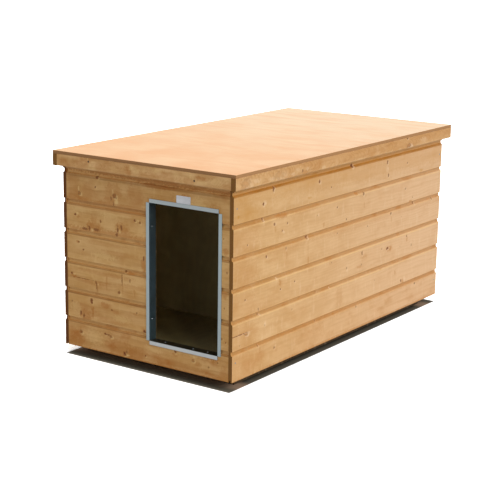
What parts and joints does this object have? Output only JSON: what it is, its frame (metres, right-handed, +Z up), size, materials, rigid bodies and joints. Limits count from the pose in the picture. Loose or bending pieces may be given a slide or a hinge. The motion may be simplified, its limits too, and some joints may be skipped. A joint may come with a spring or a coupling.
{
  "type": "dog kennel",
  "caption": "Flat-roofed wooden dog kennel of shiplap boards with a metal-edged doorway in one end, an inner partition and a hinged lid roof.",
  "frame": {"origin": "on the ground, under the middle of the roof", "axes": "+Z up, -Y out of the doorway end, +X towards the right long side as seen from the doorway end"},
  "size_m": [0.824, 1.56, 0.7737],
  "materials": {
    "cladding": "honey stained softwood, satin",
    "fascia": "honey stained softwood, satin",
    "roof_plywood": "pale peach plywood, satin",
    "inner_plywood": "brown plywood, matt",
    "frame_timber": "planed softwood, matt",
    "bearer_timber": "dark treated softwood, matt",
    "trim_metal": "satin, blue-grey",
    "plate_metal": "brushed",
    "hinge_steel": "zinc plated"
  },
  "bodies": {
    "kennel": {"right_board_1": "cladding", "right_board_2": "cladding", "right_board_3": "cladding", "right_board_4": "cladding", "right_board_5": "cladding", "right_board_6": "cladding", "right_board_7": "cladding", "left_board_1": "cladding", "left_board_2": "cladding", "left_board_3": "cladding", "left_board_4": "cladding", "left_board_5": "cladding", "left_board_6": "cladding", "left_board_7": "cladding", "back_board_1": "cladding", "back_board_2": "cladding", "back_board_3": "cladding", "back_board_4": "cladding", "back_board_5": "cladding", "back_board_6": "cladding", "back_board_7": "cladding", "front_board_1": "cladding", "front_left_board_2": "cladding", "front_left_board_3": "cladding", "front_left_board_4": "cladding", "front_left_board_5": "cladding", "front_right_board_2": "cladding", "front_right_board_3": "cladding", "front_right_board_4": "cladding", "front_right_board_5": "cladding", "front_board_6": "cladding", "front_board_7": "cladding", "floor_sheet": "inner_plywood", "partition_panel": "inner_plywood", "corner_post_front_left": "frame_timber", "corner_post_front_right": "frame_timber", "corner_post_back_left": "frame_timber", "corner_post_back_right": "frame_timber", "door_sill_rail": "frame_timber", "door_stud": "frame_timber", "door_head_rail": "frame_timber", "partition_stud_left": "frame_timber", "partition_stud_right": "frame_timber", "bearer_left": "bearer_timber", "bearer_middle": "bearer_timber", "bearer_right": "bearer_timber", "door_angle_left": "trim_metal", "door_angle_right": "trim_metal", "door_angle_top": "trim_metal", "door_angle_bottom": "trim_metal", "name_plate": "plate_metal", "front_hinge_wall_leaf": "hinge_steel", "rear_hinge_wall_leaf": "hinge_steel"},
    "lid": {"roof_sheet": "roof_plywood", "fascia_front": "fascia", "fascia_right": "fascia", "fascia_back": "fascia", "fascia_left": "fascia", "front_hinge_lid_leaf": "hinge_steel", "rear_hinge_lid_leaf": "hinge_steel"}
  },
  "joints": [
    {"name": "lid_hinge", "type": "hinge", "parent": "kennel", "child": "lid", "pos_m": [-0.391, 0, 0.7124], "axis": [0, -1, 0], "range_deg": [0, 100]}
  ]
}
